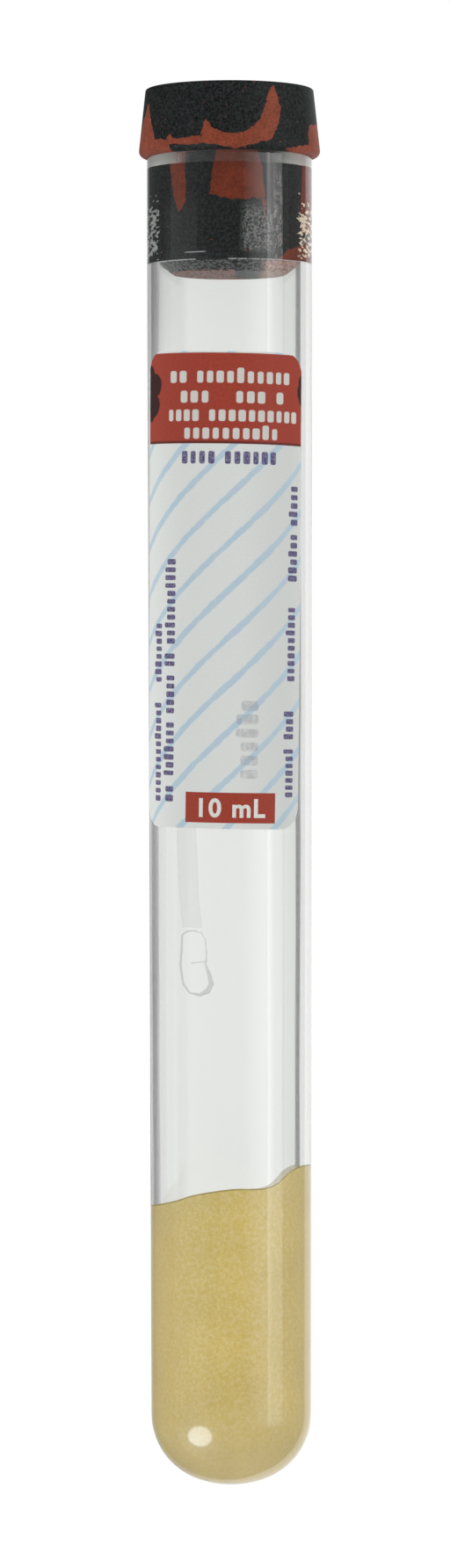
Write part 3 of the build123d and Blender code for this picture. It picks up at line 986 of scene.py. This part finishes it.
class BuildLabel(bpy.types.Operator):
    """Makes the wrapped paper label and the capacity figure printed on it"""

    bl_idname = "collection_tube.build_label"
    bl_label = "Label"

    def execute(self, context):
        tube = context.scene.tube_sizes
        sizes = context.scene.label_sizes
        bm = bmesh.new()
        corners = ((sizes.left, 0), (sizes.right, 0), (sizes.right, sizes.height), (sizes.left, sizes.height))
        sheet = bm.faces.new([bm.verts.new((x, y, 0)) for x, y in corners])
        bmesh.ops.bevel(
            bm,
            geom=list(sheet.verts),
            affect="VERTICES",
            offset=sizes.corner,
            offset_type="OFFSET",
            segments=8,
            profile=0.5,
            material=-1,
        )
        slice_sheet(bm, 0.35 * MM, sizes.left, sizes.right)
        rows = 12
        for k in range(1, rows):
            cut(bm, (0, sizes.height * k / rows, 0), (0, 1, 0))
        layer = bm.loops.layers.uv.new(LABEL_UV)
        for face in bm.faces:
            for loop in face.loops:
                loop[layer].uv = loop.vert.co.xy / MM
        for vert in bm.verts:
            point = on_label(sizes, vert.co.x, vert.co.y, sizes.clearance + sizes.thickness)
            vert.co = wrap(point, radius_at(tube, point.y, 0))
        bmesh.ops.recalc_face_normals(bm, faces=bm.faces)
        outward = 0
        for face in bm.faces:
            middle = face.calc_center_median()
            outward += face.normal.dot(Vector((middle.x, 0, middle.z)))
        if outward < 0:
            bmesh.ops.reverse_faces(bm, faces=bm.faces)
        bmesh.ops.solidify(bm, geom=bm.faces[:], thickness=sizes.thickness)
        for face in bm.faces:
            middle = face.calc_center_median()
            reach = hypot(middle.x, middle.z)
            printed = reach > radius_at(tube, -middle.y, 0) + sizes.clearance + sizes.thickness * 0.8
            face.material_index = 0 if printed else 1
        finishes = context.scene.finishes
        piece = new_object("wrapped_label", bm, [printed_paper(finishes), plain_paper(finishes)])
        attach(piece, "tube")
        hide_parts("label")
        self.figure(context, tube, sizes)
        return {"FINISHED"}

    def figure(self, context, tube, sizes):
        """The capacity figure, laid on the label's box."""
        text = bpy.data.curves.new("capacity", "FONT")
        text.body = "10 mL"
        # a figure is 0.7 of the size of its type
        text.size = sizes.figure_height / 0.7
        text.space_character = 1.12
        text.offset = 0.07 * MM
        text.resolution_u = 4
        text.align_x = "CENTER"
        made = bpy.data.objects.new("capacity", text)
        context.scene.collection.objects.link(made)
        context.view_layer.update()
        mesh = bpy.data.meshes.new_from_object(made.evaluated_get(context.evaluated_depsgraph_get()))
        bpy.data.objects.remove(made)
        bm = bmesh.new()
        bm.from_mesh(mesh)
        bmesh.ops.remove_doubles(bm, verts=bm.verts, dist=MERGE)
        half_width = 4.2 * MM
        slice_sheet(bm, 0.3 * MM, -half_width, half_width)
        across = 0.30 * MM
        foot = BOX_MIDDLE[1] * MM + sizes.figure_height / 2
        depth = sizes.clearance + sizes.thickness + 0.012 * MM
        for vert in bm.verts:
            point = on_label(sizes, vert.co.x + across, foot - vert.co.y, depth)
            vert.co = wrap(point, radius_at(tube, point.y, 0))
        bmesh.ops.recalc_face_normals(bm, faces=bm.faces)
        bmesh.ops.solidify(bm, geom=bm.faces[:], thickness=0.01 * MM)
        piece = new_object("capacity_figure", bm, [white_print()])
        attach(piece, "tube")


# How far the gel's surface lies below its middle: (across the bore, dip), in millimetres
GEL_DIPS = (
    (-6.9, 1.5),
    (-4.9, 1.02),
    (-3.3, 0.48),
    (0.0, -0.05),
    (2.9, -0.16),
    (4.1, -0.66),
    (5.0, -1.6),
    (5.8, -2.16),
    (6.8, -2.45),
)


def dip_at(across):
    """How far the gel's surface lies below its middle, at a place across the bore, both in millimetres."""
    points = GEL_DIPS
    if across <= points[0][0]:
        return points[0][1]
    if across >= points[-1][0]:
        return points[-1][1]
    number = next(i for i in range(len(points) - 1) if points[i + 1][0] >= across)
    before = points[max(number - 1, 0)]
    left = points[number]
    right = points[number + 1]
    after = points[min(number + 2, len(points) - 1)]
    gap = right[0] - left[0]
    share = (across - left[0]) / gap
    slope_left = (right[1] - before[1]) / (right[0] - before[0]) * gap
    slope_right = (after[1] - left[1]) / (after[0] - left[0]) * gap
    a = 2 * share**3 - 3 * share**2 + 1
    b = share**3 - 2 * share**2 + share
    c = -2 * share**3 + 3 * share**2
    d = share**3 - share**2
    return a * left[1] + b * slope_left + c * right[1] + d * slope_right


class BuildGel(bpy.types.Operator):
    """Makes the separator gel that fills the round end up to its sloping surface"""

    bl_idname = "collection_tube.build_gel"
    bl_label = "Separator gel"

    def execute(self, context):
        sizes = context.scene.tube_sizes
        inset = sizes.wall - TOUCH
        bm = bmesh.new()
        section = Section(bm, 0, -sizes.length + inset)
        round_end(section, sizes, inset, upwards=True)
        # the surface's dips don't reach below this station
        shoulder = 101.0 * MM
        top = sizes.length - sizes.gel_depth
        section.line(radius_at(sizes, shoulder, inset), -shoulder, cuts=6)
        # the thin dark line where the surface meets the wall
        skin = 0.14 * MM
        section.line(radius_at(sizes, top, inset), -top - skin)
        section.line(radius_at(sizes, top, inset), -top)
        section.line(0, -top, cuts=15)
        section.revolve()
        for face in bm.faces:
            face.material_index = 1 if face.calc_center_median().y > -top - skin else 0
        for vert in bm.verts:
            if vert.co.y > -top - 1.1 * skin:
                dip = dip_at(vert.co.x / MM) * MM
                vert.co.y += vert.co.z * tan(sizes.gel_lean) - dip
        finishes = context.scene.finishes
        piece = new_object("separator_gel_fill", bm, [gel_finish(finishes), gel_skin(finishes)])
        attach(piece, "tube")
        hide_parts("separator_gel")
        return {"FINISHED"}


# The run's outlines on the unrolled bore: (across from its middle line, station), in millimetres
STREAK_OUTLINE = (
    (-1.62, 60.5),
    (-1.57, 63.0),
    (-1.47, 65.9),
    (-1.25, 69.2),
    (-0.93, 72.2),
    (1.12, 72.2),
    (0.78, 69.2),
    (0.70, 65.9),
    (0.52, 63.0),
    (0.45, 60.5),
)
DROP_OUTLINE = (
    (-1.04, 72.9),
    (-0.50, 72.5),
    (0.30, 72.4),
    (1.05, 72.6),
    (1.42, 73.2),
    (1.57, 74.6),
    (1.52, 75.6),
    (1.90, 76.4),
    (2.18, 77.4),
    (1.80, 78.25),
    (0.85, 78.6),
    (-0.20, 78.35),
    (-0.95, 77.5),
    (-1.12, 76.5),
    (-1.25, 75.8),
    (-1.12, 74.3),
)
# The thick lower right side of the drop's rim: extra width in millimetres, by the outline's corner
DROP_THICK = {6: 0.08, 7: 0.24, 8: 0.36, 9: 0.42, 10: 0.16}
# Turn of the run's middle line from the label's middle, in degrees
RUN_ANGLE = -32.0


# Direction square to the line across the drop
CROSS_NORMAL = (0.115, 0.993, 0)


def film(context, name, outline, rim, thickness, finishes, thick_side=None, cross=None):
    """A closed film on the bore: a rim rises from this outline to a level middle, which a line may cross."""
    tube = context.scene.tube_sizes
    bm = bmesh.new()
    outer = [bm.verts.new((x * MM, y * MM, 0)) for x, y in outline]
    middle = sum((v.co for v in outer), Vector()) / len(outer)
    inner = []
    for number, vert in enumerate(outer):
        before = outer[number - 1].co
        after = outer[(number + 1) % len(outer)].co
        along = (after - before).normalized()
        inward = Vector((-along.y, along.x, 0))
        if inward.dot(middle - vert.co) < 0:
            inward = -inward
        reach = rim + (thick_side or {}).get(number, 0) * MM
        inner.append(bm.verts.new(vert.co + inward * reach + Vector((0, 0, thickness))))
    for ring in (outer, inner):
        for number, vert in enumerate(ring):
            bm.edges.new((vert, ring[(number + 1) % len(ring)]))
    bmesh.ops.subdivide_edges(bm, edges=bm.edges[:], cuts=3, smooth=1.0, smooth_falloff="LINEAR")
    bmesh.ops.bridge_loops(bm, edges=bm.edges[:])
    for level in (0, thickness):
        edges = [e for e in bm.edges if e.is_boundary and abs(e.verts[0].co.z - level) < 1e-7]
        bmesh.ops.contextual_create(bm, geom=edges)
    for face in bm.faces:
        heights = [vert.co.z for vert in face.verts]
        face.material_index = 1 if max(heights) - min(heights) > thickness / 2 else 0
    if cross:
        for side in (-0.04, 0.04):
            cut(bm, (cross[0] * MM, (cross[1] + side) * MM, 0), CROSS_NORMAL, reach=1e-8)
    half_width = 2.4 * MM
    slice_sheet(bm, 0.4 * MM, -half_width, half_width)
    if cross:
        centre = Vector((cross[0], cross[1], 0)) * MM
        for face in bm.faces:
            place = face.calc_center_median()
            offset = (place - centre).dot(Vector(CROSS_NORMAL))
            if abs(offset) < 0.035 * MM and place.x > 0 and face.material_index == 0:
                face.material_index = 2
    bmesh.ops.triangulate(bm, faces=[f for f in bm.faces if len(f.verts) > 4])
    start = radians(RUN_ANGLE)
    clearance = 0.004 * MM
    for vert in bm.verts:
        radius = radius_at(tube, vert.co.y, tube.wall) - clearance
        vert.co = wrap((vert.co.x + start * radius, vert.co.y, -vert.co.z), radius)
    return new_object(name, bm, finishes, sharp=60)


class BuildRun(bpy.types.Operator):
    """Makes the dried run on the bore: a thin streak that ends in a drop"""

    bl_idname = "collection_tube.build_run"
    bl_label = "Dried run"

    def execute(self, context):
        finishes = context.scene.finishes
        streak_film = dried_film("dried_film", 0.055, (0.22, 0.22, 0.215))
        streak_edge = dried_film("dried_film_edge", 0.09, (0.25, 0.25, 0.25))
        drop_film = dried_film("dried_drop", 0.05, finishes.run)
        drop_edge = dried_film("dried_drop_edge", 0.30, (0.12, 0.12, 0.125))
        drop_line = dried_film("dried_drop_line", 0.20, (0.12, 0.12, 0.125))
        streak_finishes = [streak_film, streak_edge]
        streak = film(context, "dried_streak", STREAK_OUTLINE, 0.12 * MM, 0.08 * MM, streak_finishes)
        bead = film(
            context,
            "dried_drop",
            DROP_OUTLINE,
            0.15 * MM,
            0.10 * MM,
            [drop_film, drop_edge, drop_line],
            thick_side=DROP_THICK,
            cross=(0.3, 75.45),
        )
        for piece in (streak, bead):
            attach(piece, "tube")
        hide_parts("activator_run")
        return {"FINISHED"}


# Stage


# Height of the tube's axis above the floor, near enough for lights and camera
AXIS_HEIGHT = 0.008
# Light that the floor gives off where no shade is drawn on it
FLOOR_GLOW = 0.97


def soft_light(name, power, width, place, target):
    """A soft light that shapes the piece and leaves no highlight."""
    light = bpy.data.lights.new(name, "AREA")
    light.size = width
    light.energy = power
    lamp = bpy.data.objects.new(name, light)
    lamp.location = place
    lamp.rotation_euler = (Vector(target) - Vector(place)).to_track_quat("-Z", "Y").to_euler()
    lamp.visible_glossy = False
    lamp.visible_transmission = False
    lamp.visible_camera = False
    bpy.context.scene.collection.objects.link(lamp)
    return lamp


def light_face(nodes):
    """The place on a light's face, each way from 0 to 1."""
    return nodes.parts(nodes.add("ShaderNodeNewGeometry").outputs["Parametric"])


def light_strength(nodes, value):
    """Links the brightness of a light over its face."""
    nodes.feed(nodes.tree.nodes["Emission"].inputs["Strength"], value)


def shaded_light(light, edges):
    """Lets a light's brightness fall off towards its ends. Edges are (direction, dark, bright)."""
    nodes = Nodes(light)
    face = light_face(nodes)
    fades = [nodes.step(face[axis], dark, bright) for axis, dark, bright in edges]
    light_strength(nodes, nodes.times(*fades))


def ribbed_light(light):
    """Gives a lamp a soft edge and faint rays."""
    nodes = Nodes(light)
    face = light_face(nodes)
    x = nodes.minus(face[0], 0.5)
    y = nodes.minus(face[1], 0.5)
    reach = nodes.math("SQRT", nodes.plus(nodes.times(x, x), nodes.times(y, y)))
    rays = nodes.absolute(nodes.math("SINE", nodes.times(nodes.math("ARCTAN2", x, y), 4.5)))
    shade = nodes.math("MULTIPLY_ADD", nodes.math("POWER", rays, 0.5), 0.45, 0.60)
    light_strength(nodes, nodes.times(nodes.step(reach, 0.50, 0.36), shade))


def window_light(name, brightness, low, high, distance, bottom, top, edges):
    """A long pane on the right, between two angles from overhead, that is seen only as a highlight."""
    light = bpy.data.lights.new(name, "AREA")
    light.shape = "RECTANGLE"
    light.size = 2 * distance * tan(radians(high - low) / 2)
    light.size_y = top - bottom
    light.energy = brightness * pi * light.size * light.size_y
    middle = radians(low + high) / 2
    lamp = bpy.data.objects.new(name, light)
    lamp.location = (distance * sin(middle), (top + bottom) / 2, AXIS_HEIGHT + distance * cos(middle))
    lamp.rotation_euler = (0, middle, 0)
    lamp.visible_diffuse = False
    lamp.visible_transmission = False
    lamp.visible_camera = False
    shaded_light(light, edges)
    bpy.context.scene.collection.objects.link(lamp)


def pale_floor():
    """A pale floor that gives off light, with shade drawn by place and kind of ray, by trial."""
    nodes = finish_nodes("pale_floor")
    place = nodes.add("ShaderNodeTexCoord").outputs["Object"]
    x, y, _ = nodes.parts(place)
    cloud = nodes.spread(nodes.noise(place, 6.0, 2.0, 0.5), 0.055, 0.065)
    pale = nodes.add("ShaderNodeCombineColor", {0: cloud, 1: cloud, 2: cloud}).outputs[0]
    # what a polished piece mirrors is less bright on the left and further out
    past_end = nodes.largest(nodes.minus(nodes.absolute(y), 0.066), 0.0)
    reach = nodes.length(x, past_end)
    lit = nodes.scaled(x, -0.009, 0.0075, 0.45, 1.0)
    beyond = nodes.step(nodes.minus(reach, nodes.scaled(x, 0.0, 0.010, 0.0, 0.0072)), 0.010, 0.014)
    mirrored = nodes.times(lit, nodes.rest(nodes.times(beyond, 0.82)))
    path = nodes.add("ShaderNodeLightPath").outputs
    by_mirror = nodes.times(path["Is Reflection Ray"], nodes.rest(path["Is Diffuse Ray"]))
    glow = nodes.math("MULTIPLY_ADD", by_mirror, nodes.minus(mirrored, FLOOR_GLOW), FLOOR_GLOW)
    # what the clear wall shows is darker at the sides and by the plug, and brighter past the right side
    shown = nodes.plus(
        nodes.scaled(nodes.absolute(nodes.plus(x, 0.0004)), 0.0042, 0.0054, -0.02, -0.13),
        nodes.scaled(x, 0.0046, 0.0060, 0.0, -0.05),
        nodes.scaled(x, 0.0100, 0.0122, 0.0, 0.10),
        nodes.scaled(y, 0.036, 0.048, 0.0, -0.06),
        nodes.times(nodes.step(y, 0.036, 0.048), nodes.scaled(x, -0.012, -0.0045, -0.20, 0.0)),
    )
    glow = nodes.math("MULTIPLY_ADD", path["Is Transmission Ray"], shown, glow)
    shader = nodes.principled(
        Base_Color=pale,
        Roughness=0.9,
        Specular_IOR_Level=0.0,
        Emission_Color=(1, 1, 1, 1),
        Emission_Strength=glow,
    )
    return nodes.surface(shader)


class BuildStage(bpy.types.Operator):
    """Makes the pale floor, the soft lights and the camera"""

    bl_idname = "collection_tube.build_stage"
    bl_label = "Stage"

    def execute(self, context):
        settings = context.scene.stage_settings
        self.floor(context)
        self.room(context, settings)
        self.lights(settings)
        self.camera(context, settings)
        return {"FINISHED"}

    def floor(self, context):
        """The floor that the tube lies on."""
        bm = bmesh.new()
        bmesh.ops.create_grid(bm, x_segments=2, y_segments=2, size=3.0)
        mesh = bpy.data.meshes.new("floor")
        bm.to_mesh(mesh)
        bm.free()
        mesh.materials.append(pale_floor())
        floor = bpy.data.objects.new("floor", mesh)
        context.scene.collection.objects.link(floor)

    def room(self, context, settings):
        """The room's light, from the sides to overhead."""
        world = bpy.data.worlds.new("soft_room")
        context.scene.world = world
        nodes = Nodes(world)
        sky = nodes.tree.nodes["Background"]
        direction = nodes.add("ShaderNodeTexCoord").outputs["Generated"]
        upward = nodes.parts(direction)[2]
        nodes.feed(sky.inputs["Strength"], nodes.scaled(upward, 0.0, 0.9, settings.level, settings.overhead))
        nodes.feed(sky.inputs["Color"], (0.98, 0.99, 1.0))

    def lights(self, settings):
        """Four soft lights, a window in three panes on the right, and an oval lamp on the left."""
        apart = 0.612
        for number, (across, along) in enumerate(((1, 1), (1, -1), (-1, 1), (-1, -1))):
            soft_light(f"soft_{number}", settings.key, 0.5, (apart * across, apart * along, 0.5), (0, 0, 0))
        pane = settings.window
        lower_end = (1, 0.0, 0.3)
        window_light("window_wide", 0.58 * pane, 19, 53, 0.60, -0.26, 0.24, ((0, -0.25, 1.0), lower_end))
        window_light("window_low", 1.06 * pane, 53, 78.4, 0.50, -0.24, 0.24, ((0, 1.8, 0.0), lower_end))
        window_light("window_edge", 0.28 * pane, 53, 58.5, 0.48, -0.21, 0.19, (lower_end,))
        distance = 0.6
        radius = 0.175
        stretch = 1.32
        power = stretch * settings.lamp * (pi * radius) ** 2
        place = (-0.673 * distance, -0.468 * distance - 0.06, 0.573 * distance)
        lamp = soft_light("lamp", power, 2 * radius, place, (0, -0.06, AXIS_HEIGHT))
        lamp.visible_glossy = True
        lamp.visible_diffuse = False
        lamp.data.shape = "ELLIPSE"
        lamp.data.size_y = stretch * lamp.data.size
        lamp.data.color = (0.82, 0.90, 1.0)
        ribbed_light(lamp.data)

    def camera(self, context, settings):
        """The camera, above the tube and looking straight down."""
        camera = bpy.data.cameras.new("camera")
        camera.sensor_width = 36
        camera.lens = settings.lens
        camera.shift_y = settings.shift
        camera.clip_start = 0.01
        camera.clip_end = 10
        view = bpy.data.objects.new("camera", camera)
        view.location = (settings.camera_x, settings.camera_y, AXIS_HEIGHT + settings.camera_height)
        view.rotation_euler = (0, 0, settings.roll)
        context.scene.collection.objects.link(view)
        context.scene.camera = view
        context.scene.view_settings.view_transform = "Standard"


class TubePanel(bpy.types.Panel):
    """The tube's pieces in the sidebar"""

    bl_idname = "VIEW3D_PT_collection_tube"
    bl_label = "Blood collection tube"
    bl_space_type = "VIEW_3D"
    bl_region_type = "UI"
    bl_category = "Tube"

    def draw(self, context):
        for operator in OPERATORS:
            self.layout.operator(operator.bl_idname)
        for name in GROUPS:
            group = getattr(context.scene, name)
            box = self.layout.box()
            for key in group.bl_rna.properties.keys():
                if key not in ("rna_type", "name"):
                    box.prop(group, key)


OPERATORS = (BuildWall, BuildStopper, BuildLabel, BuildGel, BuildRun, BuildStage)
GROUPS = {
    "tube_sizes": TubeSizes,
    "stopper_sizes": StopperSizes,
    "label_sizes": LabelSizes,
    "finishes": Finishes,
    "stage_settings": StageSettings,
}


def register():
    """Registers the groups, operators and panel, and puts the groups on the scene."""
    for kind in (*GROUPS.values(), *OPERATORS, TubePanel):
        bpy.utils.register_class(kind)
    for name, kind in GROUPS.items():
        setattr(bpy.types.Scene, name, PointerProperty(type=kind))


def unregister():
    """Takes all of it off again."""
    for name in GROUPS:
        delattr(bpy.types.Scene, name)
    for kind in reversed((*GROUPS.values(), *OPERATORS, TubePanel)):
        bpy.utils.unregister_class(kind)


def main():
    """Builds every piece and the stage."""
    register()
    for operator in OPERATORS:
        family, name = operator.bl_idname.split(".")
        getattr(getattr(bpy.ops, family), name)()


if __name__ == "__main__":
    main()
